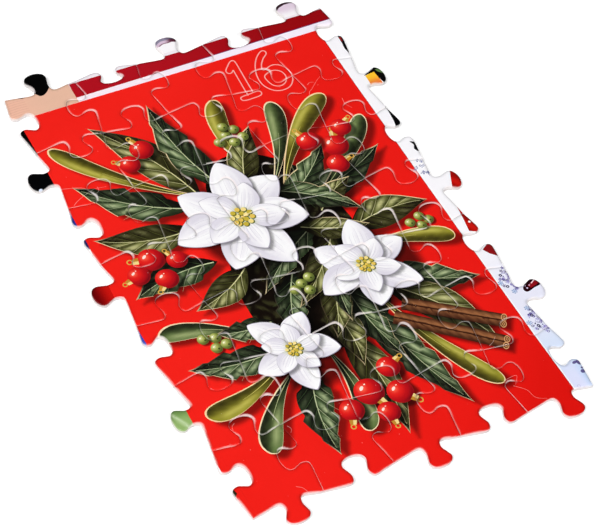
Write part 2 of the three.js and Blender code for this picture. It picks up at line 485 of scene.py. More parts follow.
def frost_blossom(centre, size, colour, heart):
    """A bigger flake: a pale disc with six dots around it."""
    lay_ink(oval(centre, 0.8 * size, count=12), heart)
    for number in range(6):
        angle = number * math.pi / 3 + 0.3
        dot = (centre[0] + size * math.cos(angle), centre[1] + size * math.sin(angle))
        lay_ink(oval(dot, 0.34 * size, count=8), colour)
    lay_ink(oval(centre, 0.34 * size, count=8), colour)


frost = np.random.default_rng(5)
pale_frost = ("#7E84AE",)
deep_frost = ("#8E84C6", "#5A4C98", "#2E2260", "#A09CD2")
ring_size, star_size = 0.22, 0.27  # above these sizes, in millimetres, a flake is more than a dot
drifts = (((45.4, 10.6), (45.3, 4.0), 26, pale_frost),
          ((45.9, -30.2), (45.9, -37.8), 64, deep_frost),
          ((45.8, -43.8), (46.3, -52.2), 74, deep_frost))
for first, last, count, frost_inks in drifts:
    for number in range(count):
        share = frost.uniform(0, 1)
        spread = frost.uniform(0, 1) ** 1.6 * (0.7 + 2.6 * math.sin(math.pi * share))
        on_line = np.array(first) * (1 - share) + np.array(last) * share
        place = on_line - np.array([spread, 0.25 * spread])
        size = frost.uniform(0.09, 0.32)
        ink = frost_inks[number % len(frost_inks)]
        if size > star_size:
            snow_star(place, 1.7 * size, frost.uniform(0, 1), ink, 0.12)
        elif size > ring_size:
            frost_ring(place, 1.5 * size, ink)
        else:
            lay_ink(oval(place, size, count=8), ink)
frost_ring((42.9, 7.5), 0.5, "#A7AFC9")
for place in ((42.7, -34.6), (44.6, -38.2), (44.6, -44.0), (42.6, -48.2)):
    frost_blossom(place, 0.6, "#8C9FC8", "#BCCBE8")
for place in ((44.0, -32.4), (43.8, -36.2), (44.5, -46.4), (44.3, -49.8)):
    frost_ring(place, 0.46, "#2A2056", 0.36)
for place, across, up in (((46.3, -63.1), 0.7, 0.42), ((47.2, -63.5), 0.5, 0.8),
                          ((46.7, -66.2), 0.62, 0.56), ((47.1, -65.2), 0.34, 0.3)):
    lay_ink(oval(place, across, up, 0.2, 14), blend_rule("#4A3E78", 0.8))
for place in ((43.2, -69.6), (44.2, -70.6)):
    frost_ring(place, 0.5, "#CDCBEC")
print("inks laid:", len(stack))

# %% [markdown]
# ## The day number
# The day is printed as open numerals: only the edge of each figure is drawn, in a
# pale pink line about a third of a millimetre wide. A closed figure becomes a ring,
# which is one outline with a second one as its hole.

# %% outline numerals
def ring_of(points, width, steps=5):
    """The two edges of a closed line drawn smoothly through the points."""
    line = smooth_run(points, steps)
    along = np.roll(line, -1, 0) - np.roll(line, 1, 0)
    along /= np.linalg.norm(along, axis=1, keepdims=True)
    side = np.stack([-along[:, 1], along[:, 0]], 1) * width / 2
    return line + side, line - side


numeral_pink, numeral_line = "#F8A8A2", 0.32
one_stroke = [(14.0, 47.7), (14.15, 50.6), (14.4, 54.2), (14.65, 57.6)]
one_flag = [(14.65, 57.6), (13.7, 56.85), (12.85, 57.0), (12.65, 58.1), (14.0, 59.6),
            (15.4, 60.8), (16.35, 60.75), (16.55, 59.6), (16.35, 56.6), (16.05, 52.6),
            (15.8, 48.3)]
one_foot = [(12.1, 47.85), (14.6, 48.05), (17.1, 48.2), (17.85, 47.4), (17.1, 46.5),
            (14.5, 46.3), (12.3, 46.4), (11.6, 47.1)]
six_edge = [(22.3, 54.5), (22.7, 56.4), (24.2, 58.3), (25.9, 59.7), (26.0, 60.8), (24.9, 61.05),
            (22.7, 59.3), (20.8, 56.5), (19.6, 53.2), (19.5, 49.9), (20.9, 47.2), (23.3, 46.0),
            (26.1, 46.4), (28.1, 48.4), (28.8, 51.0), (28.0, 53.8), (25.6, 55.3)]
six_eye = [(21.35, 52.0), (22.8, 53.1), (24.8, 53.4), (26.5, 52.3), (26.9, 50.2), (25.7, 48.2),
           (23.6, 47.6), (21.9, 48.9)]


def print_numerals():
    """Lays the figures of the day on the ground."""
    lay_ink(drawn_line(smooth_run(one_stroke, 4, closed=False), numeral_line), numeral_pink)
    lay_ink(drawn_line(smooth_run(one_flag, 4, closed=False), numeral_line), numeral_pink)
    for figure in (one_foot, six_edge, six_eye):
        outer, inner = ring_of(figure, numeral_line, 4)
        lay_ink(outer, numeral_pink, inner)


print("numerals drawn with", len(one_flag) + len(six_edge) + len(six_eye), "guide points")

# %% [markdown]
# ## A winter posy
# The middle of the picture is painted foliage: dark pointed leaves, olive leaves
# with cream rims, red baubles, sticks of cinnamon and white flowers, over soft
# shadows that turn the ground a deep red. Every kind of thing gets a function, and
# short lists say where each one grows, so the posy can be rearranged at will.

# %% soft shadows
guide_loops = []  # loops that only ask the mesh for more points, where shading is soft
shadow_soft = 0.9  # millimetres from a shadow's middle tone to its light and its dark end


def shadow_of(shape, drop=(1.4, -1.9), depth=0.56, soft=shadow_soft):
    """Darkens what lies under a shape. shape(inset) gives its outline, drawn in by inset."""
    wide, base, inner = (shape(inset) + np.asarray(drop) for inset in (-1.15 * soft, 0.0, soft))

    def rule(points, below):
        away, _ = distance_to(base, points)
        away = np.where(is_inside(points, [base]), -away, away)
        return below * (1 - (1 - depth) * ease(-away, -soft, soft))[:, None]

    lay_ink(wide, rule)
    guide_loops.extend([base, inner])


print("a shadow fades over", 2 * shadow_soft, "mm")

# %% how a leaf is shaded
leaf_inks = {
    "fir": ("#0F0F0C", "#405832", "#C4CEA0", "#E6D0A2"),
    "moss": ("#17120A", "#60662E", "#DCD89E", "#EAD2A2"),
    "olive": ("#332E10", "#918C2B", "#D9CF6C", "#F8D8A2"),
    "sage": ("#171A10", "#5F7440", "#BCC48C", "#F4DEB4"),
}
veins_per_leaf, vein_slant, side_veins = 6.5, 0.24, 4


def veined_blade(place, form, dark, middle, light):
    """A glossy blade: it swells between its side veins, and one half is lit."""
    def rule(points, below):
        t, n = leaf_place(points, *place)
        m = np.clip(n / np.maximum(form(np.clip(t, 0.02, 0.98)), 0.1), -1, 1)
        swell = np.sin(math.pi * np.mod(veins_per_leaf * (t - vein_slant * np.abs(m)), 1)) ** 0.8
        lit = ease(n, -0.12, 0.12)
        x, y = points.T
        brush = np.sin(x * 2.3 + 2.2 * np.sin(y * 1.7)) * np.sin(y * 2.1)
        tone = (0.1 + 0.3 * swell * (1 - lit) + lit * (0.3 + 0.6 * swell * (1 - 0.55 * m ** 2))
                - 0.35 * ease(t, 0.6, 1.0) - 0.3 * (1 - ease(t, 0.08, 0.4)) + 0.08 * brush)
        colour = blend_inks(srgb(dark), srgb(middle), tone)
        bright = np.exp(-((np.abs(m) - 0.45) / 0.3) ** 2) * ease(t, 0.15, 0.4)
        dim = np.exp(-((np.abs(m) - 0.6) / 0.2) ** 2) * ease(t, 0.2, 0.5)
        gloss = lit * swell ** 3 * bright + 0.35 * (1 - lit) * swell ** 4 * dim
        return blend_inks(colour, srgb(light), 0.9 * gloss * (1 - 0.7 * ease(t, 0.65, 0.95)))
    return rule


def plain_blade(place, form, dark, middle, light):
    """A thick, smooth blade, dark at its stalk and pale along its edge."""
    def rule(points, below):
        t, n = leaf_place(points, *place)
        m = np.clip(n / np.maximum(form(np.clip(t, 0.02, 0.98)), 0.1), -1, 1)
        x, y = points.T
        brush = np.sin(x * 1.7 + 2.0 * np.sin(y * 1.1)) * np.sin(y * 1.9)
        tone = 0.12 + 0.85 * ease(m, -0.75, 0.5) * ease(t, 0.12, 0.6) + 0.1 * brush
        colour = blend_inks(srgb(dark), srgb(middle), tone)
        gloss = np.exp(-((m - 0.42) / 0.3) ** 2) * ease(t, 0.3, 0.6) * (1 - ease(t, 0.78, 0.98))
        edge = ease(np.abs(m), 0.72, 1.0) * ease(t, 0.2, 0.6)
        return blend_inks(colour, srgb(light), 0.62 * gloss + 0.22 * edge)
    return rule


def rim_rule(place, dark, rim):
    """The pale edge of a leaf, which is lost on the shaded side."""
    def rule(points, below):
        t, n = leaf_place(points, *place)
        seen = (0.2 + 0.8 * ease(n, -0.5, 0.2)) * ease(t, 0.15, 0.5)
        return blend_inks(srgb(dark), srgb(rim), seen)
    return rule


print("leaf inks:", ", ".join(leaf_inks))

# %% lay one leaf
leaf_forms = {"fir": scalloped, "moss": pointed, "olive": spoon, "sage": spoon}


def print_leaf(base, tip, width, bend, kind):
    """Lays one leaf: shadow, pale rim, blade, midrib and side veins."""
    dark, middle, light, rim = leaf_inks[kind]
    form = leaf_forms[kind]
    place = (base, tip, 0.85 * width, bend)
    shape = lambda inset: leaf_outline(*place, form, rim=inset)
    veined = kind in ("fir", "moss")
    shadow_of(shape)
    lay_ink(shape(0.0), rim_rule(place, dark, rim) if veined else rim)
    blade, rim_width = (veined_blade, 0.13) if veined else (plain_blade, 0.2)
    lay_ink(shape(rim_width) + np.array([0.08, -0.1]), blade(place, form, dark, middle, light))
    start, length, along, across = leaf_axes(base, tip)
    spine = lambda t: start + along * length * t + across * bend * 4 * t * (1 - t)
    rib = [spine(t) for t in np.linspace(0.04, 0.92 if veined else 0.6, 12)]
    lay_ink(drawn_line(rib, 0.34 if veined else 0.26, 0.8), light)
    if not veined:
        return
    for number in range(1, side_veins + 1):
        root = number / veins_per_leaf
        end = root + 0.92 * vein_slant
        for side in (-1, 1):
            reach = across * 0.44 * width * float(form(np.array(end))) * side
            bow = (spine(root) + spine(end) + reach) / 2 + along * 0.012 * length
            vein = smooth_run([spine(root), bow, spine(end) + reach], 3, closed=False)
            lay_ink(drawn_line(vein, 0.2, 0.75), blend_rule(light if side > 0 else middle, 0.75))


print("veins on each side of a leaf:", side_veins)

# %% baubles and berries
def ball_rule(centre, radius, ramp):
    """Shades a ball that is lit from the upper left."""
    colours = [srgb(code) for code in ramp]

    def rule(points, below):
        lit = np.asarray(centre) + np.array([-0.34, 0.38]) * radius
        away = np.linalg.norm(points - lit, axis=1) / (1.5 * radius)
        colour = np.broadcast_to(colours[0], (len(points), 3))
        for number, colour_there in enumerate(colours[1:]):
            first = number / (len(colours) - 1)
            colour = blend_inks(colour, colour_there, ease(away, first, first + 0.36))
        edge = np.linalg.norm(points - np.asarray(centre), axis=1) / radius
        return blend_inks(colour, colours[1], 0.4 * ease(edge, 0.82, 1.0) * ease(away, 0.6, 0.9))
    return rule


def print_ball(centre, radius, ramp, gloss):
    """Lays one ball with its shadow and two highlights."""
    drop = (0.3 * radius, -0.42 * radius)
    shadow_of(lambda inset: oval(centre, radius - inset), drop, 0.5, 0.16 * radius)
    lay_ink(oval(centre, radius, count=40), ball_rule(centre, radius, ramp))
    for share in (0.3, 0.55, 0.78, 0.92):
        guide_loops.append(oval(centre, radius * share, count=24))
    x, y = centre
    for left, above, across, up, turn, count in ((0.34, 0.4, 0.2, 0.11, 0.7, 14),
                                                 (0.02, 0.6, 0.07, 0.05, 0.2, 10)):
        spot = (x - left * radius, y + above * radius)
        lay_ink(oval(spot, across * radius, up * radius, turn, count), gloss)


glass_red = ("#FF6A4E", "#E01E1C", "#B40F18", "#560914")
berry_green = ("#E6E6B0", "#A9B05A", "#6E7A34", "#2E3A1C")


def print_bauble(x, y, radius, turn):
    """A red glass bauble with its gold cap, which points along turn."""
    way = np.array([math.cos(turn), math.sin(turn)])
    side = np.array([-way[1], way[0]])
    foot = np.array([x, y]) + way * radius * 0.9
    foot_half, top_half, height = side * radius * 0.3, side * radius * 0.24, way * radius * 0.42
    cap = [foot - foot_half, foot + foot_half, foot + top_half + height, foot - top_half + height]
    loop_middle = foot + way * radius * 0.62
    inner = oval(loop_middle, radius * 0.14, count=14)
    lay_ink(oval(loop_middle, radius * 0.24, count=18), "#D9A94A", inner)
    print_ball((x, y), radius, glass_red, "#FFE6DA")
    lay_ink(cap, "#C28A32")
    lay_ink([cap[1], cap[2], (cap[2] + cap[3]) / 2, (cap[0] + cap[1]) / 2], "#F3D88C")


def print_berries(x, y, places, radius=1.5):
    """A cluster of pale green berries, each with a dark eye."""
    for across, up in places:
        print_ball((x + across, y + up), radius, berry_green, "#F6F6DC")
        eye = (x + across + 0.3 * radius, y + up - 0.25 * radius)
        lay_ink(oval(eye, 0.2 * radius, count=10), "#39431F")


print("ball ramps:", len(glass_red), "inks each")

# %% petals
def petal_rule(place):
    """White, with a green root, fine folds along it, and a violet shade down one side."""
    def rule(points, below):
        t, n = leaf_place(points, *place)
        m = np.clip(n / np.maximum(petal(np.clip(t, 0.02, 0.98)), 0.1), -1, 1)
        folded = ease(t, 0.08, 0.35) * (1 - ease(t, 0.55, 0.95))
        folds = (0.5 + 0.5 * np.sin(2 * math.pi * 2.6 * m)) * folded
        shade = ease(-m, 0.0, 1.0) * (1 - 0.5 * ease(t, 0.5, 1))
        shine = np.exp(-((m - 0.45) / 0.28) ** 2) * ease(t, 0.2, 0.5)
        colour = blend_inks(srgb("#FCFAFC"), srgb("#CDC7D8"), 0.62 * shade)
        colour = blend_inks(colour, srgb("#CFC9D8"), 0.3 * folds)
        colour = blend_inks(colour, srgb("#C4CB9C"), 0.85 * (1 - ease(t, 0.02, 0.3)))
        return blend_inks(colour, srgb("#FFFFFF"), 0.6 * shine)
    return rule


petal_veins = (-0.6, -0.3, 0.0, 0.3, 0.6)  # how far each vein swings out to the side


def print_petal(centre, angle, reach, width, bend):
    """Lays one petal, from near the flower's centre outwards."""
    way = np.array([math.cos(angle), math.sin(angle)])
    base, tip = np.asarray(centre) + way * 0.08 * reach, np.asarray(centre) + way * reach
    place = (base, tip, width, bend)
    shape = lambda inset: leaf_outline(*place, petal, rim=inset)
    shadow_of(shape, (0.55, -0.8), 0.6, 0.5)
    lay_ink(shape(0.0), "#A8A0B2")
    lay_ink(shape(0.09) + np.array([-0.05, 0.06]), petal_rule(place))
    start, length, along, across = leaf_axes(base, tip)
    for side in petal_veins:
        t = np.linspace(0.1, 0.78 - 0.3 * abs(side), 8)
        swell = 4 * t * (1 - t)
        aside = bend * swell + side * width * 0.42 * swell
        line = start + np.outer(length * t, along) + np.outer(aside, across)
        lay_ink(drawn_line(line, 0.13, 0.6), blend_rule("#A9A1B8", 0.45))


print("fine veins in a petal:", len(petal_veins))

# %% flowers
# each stamen's distance from the centre, as a share of the flower's reach, and its angle
stamens = ([(0.0, 0.0)] + [(0.07, 1.3 * number) for number in range(1, 6)]
           + [(0.14, 0.66 * number) for number in range(6, 16)])
stamen_golds = ("#E9C65A", "#C9B23E", "#F4DE8C")


def print_flower(x, y, reach, turn, outer=6, inner=5):
    """A white flower with two rows of petals and a gold heart."""
    shadow_of(lambda inset: oval((x, y), 0.84 * reach - inset), (1.9, -2.6), 0.4, 1.8)
    for number in range(outer):
        angle = turn + number * 2 * math.pi / outer
        bend = 0.05 * reach * (-1) ** number
        print_petal((x, y), angle, reach * (0.94 + 0.1 * (number % 2)), 0.6 * reach, bend)
    for number in range(inner):
        angle = turn + 0.5 + number * 2 * math.pi / inner
        print_petal((x, y), angle, 0.64 * reach, 0.42 * reach, -0.03 * reach)
    for number, (ring, angle) in enumerate(stamens):
        spot = (x + reach * ring * math.cos(angle), y + reach * ring * math.sin(angle))
        lay_ink(oval((spot[0] + 0.15, spot[1] - 0.2), 0.045 * reach, count=12), "#5E6428")
        gold = stamen_golds[number % len(stamen_golds)]
        lay_ink(oval(spot, 0.038 * reach, count=12), gold)


print("flower: two rows of petals and", len(stamens), "stamens")

# %% cinnamon sticks
# the rings of one scroll at a stick's end, from the outside in: size and colour
scroll = ((0.27, "#D9A06C"), (0.2, "#3A180D"), (0.13, "#C98F5C"), (0.06, "#3A180D"))


def print_stick(start, end, width):
    """A rolled stick of bark, with its two scrolls showing at the near end."""
    start, end = np.asarray(start, float), np.asarray(end, float)
    along = (end - start) / np.linalg.norm(end - start)
    side = np.array([-along[1], along[0]])

    def edge(inset):
        half = side * (width / 2 - inset)
        first, last = start + along * inset, end - along * inset
        return np.array([first + half, last + half, last - half, first - half])

    def bark(points, below):
        n = (points - start) @ side / (width / 2)
        t = (points - start) @ along
        roll = np.abs(np.sin(math.pi * 0.5 * (n + 1)))
        grain = 0.5 + 0.5 * np.sin(2.3 * t + 5 * n)
        lit = 0.75 * roll * (0.5 + 0.5 * ease(n, -0.6, 0.6)) + 0.18 * grain
        return blend_inks(srgb("#2C120B"), srgb("#C07F4E"), np.where(np.abs(n) < 0.1, 0.05, lit))

    shadow_of(edge, depth=0.5)
    lay_ink(edge(0.0), bark)
    for share in (-0.5, 0.0, 0.5):
        aside = side * share * width
        guide_loops.append(drawn_line([start + aside, end + aside], 0.3))
    turn = math.atan2(along[1], along[0])
    for way in (-1, 1):
        centre = end + side * way * width * 0.25
        for size, colour in scroll:
            lay_ink(oval(centre, width * size * 0.7, width * size, turn, 16), colour)


print("rings in a scroll of bark:", len(scroll))

# %% the posy, laid from the back to the front
posy_heart = [(-10, 26), (2, 30), (14, 20), (18, 4), (18, -20), (8, -34), (-6, -36), (-18, -34),
              (-20, -14), (-16, 4)]
fir_leaves = [
    ((-18, 18), (-43, 36), 12.5, 2.0, "fir"), ((-14, 20), (-31, 53), 13, -2.2, "moss"),
    ((-7, 20), (-13, 55), 12, 2.0, "fir"), ((-20, 12), (-45.5, 18), 11.5, 2.2, "moss"),
    ((-20, 0), (-44, -3), 12, -1.8, "fir"), ((8, 10), (38, 19), 12, -2.0, "fir"),
    ((16, -4), (40, -3), 12, 1.8, "moss"), ((16, -18), (39.5, -30), 12.5, -2.0, "fir"),
    ((14, -22), (33, -50), 13, 2.4, "moss"), ((8, -24), (17, -63), 12.5, -2.2, "fir"),
    ((-2, -30), (-2, -64.5), 11.5, 1.8, "moss"), ((-14, -38), (-20, -63), 11.5, -2.0, "fir"),
    ((-18, -30), (-42, -27), 11, 1.6, "fir"),
]
olive_leaves = [
    ((2, 20), (4, 50), 9, 2.0, "olive"), ((6, 18), (18.5, 43.5), 9, -1.8, "sage"),
    ((8, 16), (33, 41), 9.5, 2.0, "olive"), ((12, 8), (39, 30), 8.5, -1.8, "sage"),
    ((-16, 22), (-43.5, 50), 8, 2.0, "olive"), ((-20, -34), (-44, -41), 9.5, 1.8, "olive"),
    ((-20, -38), (-35, -56), 9.5, -1.6, "sage"), ((-22, -24), (-44, -15), 8.5, -1.8, "sage"),
    ((16, -10), (40.5, -16), 8.5, 1.4, "olive"), ((12, -26), (27, -61), 8.5, -1.8, "olive"),
    ((-8, -36), (-10, -60), 8.5, 1.6, "sage"),
]
inner_leaves = [
    ((-2, 18), (9, 38), 10, 1.4, "moss"), ((4, 10), (24, 25), 10.5, -1.4, "fir"),
    ((12, 4), (25, 12), 8, 1.0, "moss"), ((6, -16), (9, -45), 10.5, -1.6, "fir"),
    ((-2, -20), (-2, -43), 10, 1.6, "moss"), ((-4, -10), (-13, -30), 10.5, -1.2, "fir"),
    ((-14, -4), (-32, -12), 10, 1.4, "moss"), ((4, -14), (-4, -33), 9.5, 1.0, "moss"),
    ((10, -4), (2, -30), 9, -1.4, "fir"), ((12, -2), (-8, -21), 9.5, 1.2, "moss"),
    ((10, 2), (-14, -14), 9.5, -1.2, "fir"), ((2, 16), (23, 1), 10, 1.6, "fir"),
    ((4, 2), (22, -4), 8.5, -1.0, "moss"), ((-16, -22), (-31, -20), 8.5, 1.0, "fir"),
]


def tangle(points, below):
    """Near black, with a hint of the leaves that lie deeper."""
    x, y = points.T
    wave = np.sin(1.1 * x + 2 * np.sin(0.7 * y))
    hint = 0.5 + 0.5 * wave * np.sin(0.9 * y + 1.6 * np.sin(0.8 * x))
    return blend_inks(srgb("#120B07"), srgb("#3A3A20"), 0.85 * ease(hint, 0.5, 0.95))


lay_ink(smooth_run(posy_heart, 5), tangle)
all_leaves = fir_leaves + olive_leaves + inner_leaves
for leaf in all_leaves:
    print_leaf(*leaf)
print_berries(-4, -14.5, [(0, 0), (2.7, 1.1), (1.0, -2.6), (-2.4, -1.2)], 1.45)
print("leaves:", len(all_leaves), "inks laid:", len(stack))

# %% fruit, bark and flowers on top
baubles = [
    (27, 23, 3.7, 1.2), (21, 27, 3.2, 1.9), (31.5, 28, 2.9, 0.6), (24.5, 17, 3.1, 0.2),
    (-5, -50, 3.8, -1.2), (2, -53, 3.4, -0.9), (-11.5, -53, 3.1, -2.0), (3, -45.5, 3.0, 0.4),
    (-3.5, -57, 2.9, -1.6), (-35, 7, 3.5, 2.9), (-40, 3.5, 2.9, 3.4), (-34, 0, 3.0, 3.9),
    (-29, 4.5, 2.7, 2.0), (-21, 41, 3.2, 1.9), (-26, 37.5, 2.8, 2.6),
]
print_stick((16, -30), (37, -45), 4.2)
print_stick((12, -33), (34, -51), 4.2)
for bauble in baubles:
    print_bauble(*bauble)
print_berries(1.5, 37, [(0, 0), (3.0, 1.2), (1.2, -2.9), (4.2, -2.0), (-2.6, -1.6), (0.6, 3.0)])
print_berries(-31.5, -21, [(0, 0), (-2.9, 0.8), (-1.0, -2.8), (1.8, -2.6)])
print_berries(34, -10, [(0, 0), (2.7, 1.0), (0.9, 2.9), (-2.4, 1.8)], 1.4)
print_flower(14, -15.5, 14.5, 0.3)
print_flower(-15.5, -31.5, 12.5, 0.9, 5, 5)
print_flower(-7.5, 10.5, 18.5, 0.55, 7, 5)
print_numerals()
print("inks laid:", len(stack))

# %% creases and dust
creases = [
    [(-45.0, 30.4), (-43.8, 31.3), (-41.6, 32.3), (-38.1, 33.5), (-34.8, 33.1)],
    [(-45.6, 36.6), (-40.8, 35.1), (-39.4, 32.7), (-38.5, 29.4)],
    [(-36.9, 33.9), (-37.2, 32.5), (-38.6, 31.8)],
    [(29.5, 41.6), (30.2, 42.7), (31.3, 43.4), (33.7, 45.4), (35.6, 46.7)],
    [(30.8, 45.1), (31.8, 45.7), (33.0, 45.4)],
    [(29.4, -50.2), (30.9, -49.5), (32.3, -48.3)],
    [(28.3, -62.9), (30.7, -65.3), (31.4, -68.0), (33.9, -69.5)],
    [(27.1, -60.6), (30.7, -60.5), (29.0, -62.8)],
    [(-34.0, -66.2), (-32.7, -67.2), (-32.1, -68.9)],
    [(-38.9, -45.0), (-39.7, -45.5), (-40.1, -46.6)],
    [(-27.8, -50.6), (-27.3, -51.7), (-27.9, -52.7)],
    [(37.2, 37.3), (36.9, 35.0), (37.9, 33.0)],
]
worn = blend_rule("#FFE9E6", 0.5)  # half-bared paper, where the sheet was creased
specks = 100
for crease in creases:
    lay_ink(drawn_line(smooth_run(crease, 4, closed=False), 0.14, 0.5), worn)
dust = np.random.default_rng(11)
for number in range(specks):
    place = dust.uniform((-45, -70), (42, 61))
    lay_ink(oval(place, dust.uniform(0.04, 0.11), count=6), worn)
print("creases:", len(creases), "inks laid:", len(stack))

# %% [markdown]
# ## The outline of one piece
# The CAD solid already has the cut line, as a run of short straight edges. The top
# face's open edges, followed one after another, give that run back. Between the
# four corners the line is drawn through again with a smooth curve, because a steel
# rule is bent in curves and not in steps.

# %% read the cut line from the frame
def cut_line(node):
    """The printed face's edge of a CAD node, as a closed run of points in millimetres."""
    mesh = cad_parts[node].data
    places = [tuple(np.round(np.array(v.co) / MM, 4)) for v in mesh.vertices]
    level = max(place[2] for place in places) - 0.01
    used = set()
    for face in mesh.polygons:
        corners = [places[i] for i in face.vertices]
        if min(corner[2] for corner in corners) > level:
            flat = [corner[:2] for corner in corners]
            used.update(zip(flat, flat[1:] + flat[:1]))
    follow = {start: end for start, end in used if (end, start) not in used}
    first = min(follow)
    run = [first]
    while follow[run[-1]] != first:
        run.append(follow[run[-1]])
    run = np.array(run)
    x, y = run.T
    area = 0.5 * np.sum(x * np.roll(y, -1) - np.roll(x, -1) * y)
    return run if area > 0 else run[::-1]


sample_line = cut_line("piece_r4_c3")
print("the middle piece's cut line has", len(sample_line), "points")

# %% find the corners and draw smooth sides between them
def cell_middle(row, column):
    """The middle of a piece's place in the grid."""
    return sheet_shift + np.array([(column - (columns + 1) / 2) * pitch_across,
                                   ((rows + 1) / 2 - row) * pitch_up])


corner_search = 2.4  # how far from its place in the grid a corner may lie, in millimetres


def corner_numbers(run, middle):
    """Which points of the cut line are the piece's four corners."""
    back, ahead = run - np.roll(run, 1, 0), np.roll(run, -1, 0) - run
    turning = np.arctan2(back[:, 0] * ahead[:, 1] - back[:, 1] * ahead[:, 0], (back * ahead).sum(1))
    found = []
    for way in ((-1, -1), (1, -1), (1, 1), (-1, 1)):
        nominal = middle + np.array(way) * (pitch_across / 2, pitch_up / 2)
        away = np.linalg.norm(run - nominal, axis=1)
        found.append(int(np.argmax(np.where(away < corner_search, np.abs(turning), -1))))
    return sorted(found)


snug, corner_snug = 0.105, 1.3  # millimetres an outline is let out, and times that at a corner


def smooth_cut(run, corners):
    """The cut line with smooth sides, crisp corners, and a snugger fit than the CAD has."""
    sides = []
    for first, last in zip(corners, corners[1:] + [corners[0] + len(run)]):
        side = run[np.arange(first, last + 1) % len(run)]
        sides.append(smooth_run(side, 3, closed=False)[:-1])
    line = np.concatenate(sides)
    starts = np.cumsum([0] + [len(side) for side in sides[:-1]])
    reach = np.full((len(line), 1), snug)
    reach[starts] = snug * corner_snug
    return line + outward(line) * reach


def outward(line):
    """Unit steps that point out of a closed line."""
    along = np.roll(line, -1, 0) - np.roll(line, 1, 0)
    along /= np.maximum(np.linalg.norm(along, axis=1, keepdims=True), 1e-9)
    return np.stack([along[:, 1], -along[:, 0]], 1)


sample_corners = corner_numbers(sample_line, cell_middle(4, 3))
sample_cut = smooth_cut(sample_line, sample_corners)
print("smoothed to", len(sample_cut), "points, corners at", sample_corners)

# %% [markdown]
# ## What the knife does to the rim
# A die cuts by pressing. The printed sheet is dragged down a little before it
# parts, so every piece has a rolled rim, 0.4 mm wide in a socket and 0.7 mm round a
# knob. A knob's round end gives way more than the socket around it, so the white
# wall of the socket shows over the knob as a bright line, with a dark one beside it
# where the rim turns away. This is what makes a jigsaw look like a jigsaw, so the
# rim is real geometry here, with its own rings of points.

# %% how the rim rolls down
rim_rings = np.array([0.0, 0.05, 0.12, 0.22, 0.38, 0.62])
bend_reach = 1.3  # millimetres of cut line, each way, over which its bend is felt


def bulge_of(line):
    """How the cut line bends at each point: 1 round a knob, 0 in a socket, 0.5 if straight."""
    ahead = np.roll(line, -1, 0) - line
    steps = np.linalg.norm(ahead, axis=1)
    places = np.concatenate([[0], np.cumsum(steps)])
    angles = np.unwrap(np.arctan2(ahead[:, 1], ahead[:, 0]))
    around, length = 2 * math.pi, places[-1]
    far_places = np.concatenate([places[:-1] - length, places[:-1], places[:-1] + length])
    far_angles = np.concatenate([angles - around, angles, angles + around])
    turned = (np.interp(places[:-1] + bend_reach, far_places, far_angles)
              - np.interp(places[:-1] - bend_reach, far_places, far_angles))
    return np.clip(0.5 + 0.55 * turned, 0, 1)


def rim_shape(bulge, crush):
    """The rolled rim's width and drop in millimetres, for a bend and a piece's softness."""
    return 0.42 + 0.24 * bulge, (0.07 + 0.13 * bulge ** 1.2) * crush


def rim_height(away, width, drop):
    """How far the rim has sunk at a distance from the cut, as a quarter of an oval."""
    inward = np.clip(1 - away / width, 0, 1)
    return -drop * (1 - np.sqrt(1 - inward ** 2))


for name, bulge in (("socket", 0.0), ("straight", 0.5), ("knob", 1.0)):
    print(name, "rim: width %.2f, drop %.2f" % rim_shape(bulge, 1.0))

# %% [markdown]
# ## Bare paper, painted highlight and painted shade at the cut
# The ink film tears at the cut, so a line of bare paper follows it, broken and
# uneven. On the sides that face the camera across the table the line is made wide
# and strong, as a painted highlight for the lit cut wall; elsewhere it is nearly
# gone. On the sides that turn away from the camera, and more along the outside of
# the section, the ink is darkened as painted shade where the rim turns from the
# lamps. None of this is a shape, so it goes into the colours of the mesh, as a share
# that fades with the distance from the cut.

# %% bare paper, painted highlight and painted shade along the cut
camera_side = np.array([-0.59, -0.81])  # the way towards the camera, level with the table


def ripple_of(line, chance):
    """A slow and a quick unevenness along the cut line, about 0."""
    steps = np.linalg.norm(np.roll(line, -1, 0) - line, axis=1)
    run = np.concatenate([[0], np.cumsum(steps)[:-1]]) / steps.sum()
    return sum(np.sin(2 * math.pi * (count * run + chance.uniform())) * size
               for count, size in ((2, 0.3), (5, 0.26), (11, 0.2), (23, 0.12)))


def bared_paper_and_highlight(line, bulge, chance):
    """How strong the white line along the cut is, 0 to 1: bare paper, with painted highlight where
    a side faces the camera.
    """
    facing = np.clip(outward(line) @ camera_side + 0.1, 0, 1)
    torn = 0.58 * facing * (1 - 0.9 * bulge) * chance.uniform(0.0, 1.8)
    return np.clip(torn + (0.06 + 0.34 * facing) * ripple_of(line, chance), 0, 1)


def painted_rim_shade(line, away, nearest, exposed):
    """Painted shade beside the cut, on sides turned away from the camera and, more, along the
    section's open sides.
    """
    turned_away = 1 - ease(outward(line) @ camera_side, 0.1, 0.7)
    rim_shade = 0.085 * turned_away[nearest] * (1 - ease(away, 0.2, 0.8))
    open_edge_shade = (exposed * (0.045 + 0.1 * turned_away))[nearest] * (1 - ease(away, 0.15, 0.75))
    return rim_shade, open_edge_shade


def bare_and_highlight_share(away, strength):
    """How much bare paper and painted highlight shows at a distance from the cut."""
    width = 0.11 + 0.31 * np.sqrt(strength) + 0.14 * ease(strength, 0.55, 1.0)  # millimetres
    return np.clip(0.09 + 1.7 * strength, 0, 0.79) * (1 - ease(away, 0.5 * width, 1.2 * width))


def open_side(line, middle, row, column):
    """1 where the cut line runs along the outside of the whole section, and 0 elsewhere."""
    x, y = ((line - middle) / (pitch_across, pitch_up)).T
    sideways = np.abs(x) > np.abs(y)
    left, right = (column == 1) & (x < 0), (column == columns) & (x > 0)
    top, foot = (row == 1) & (y > 0), (row == rows) & (y < 0)
    return np.where(sideways, left | right, top | foot).astype(float)


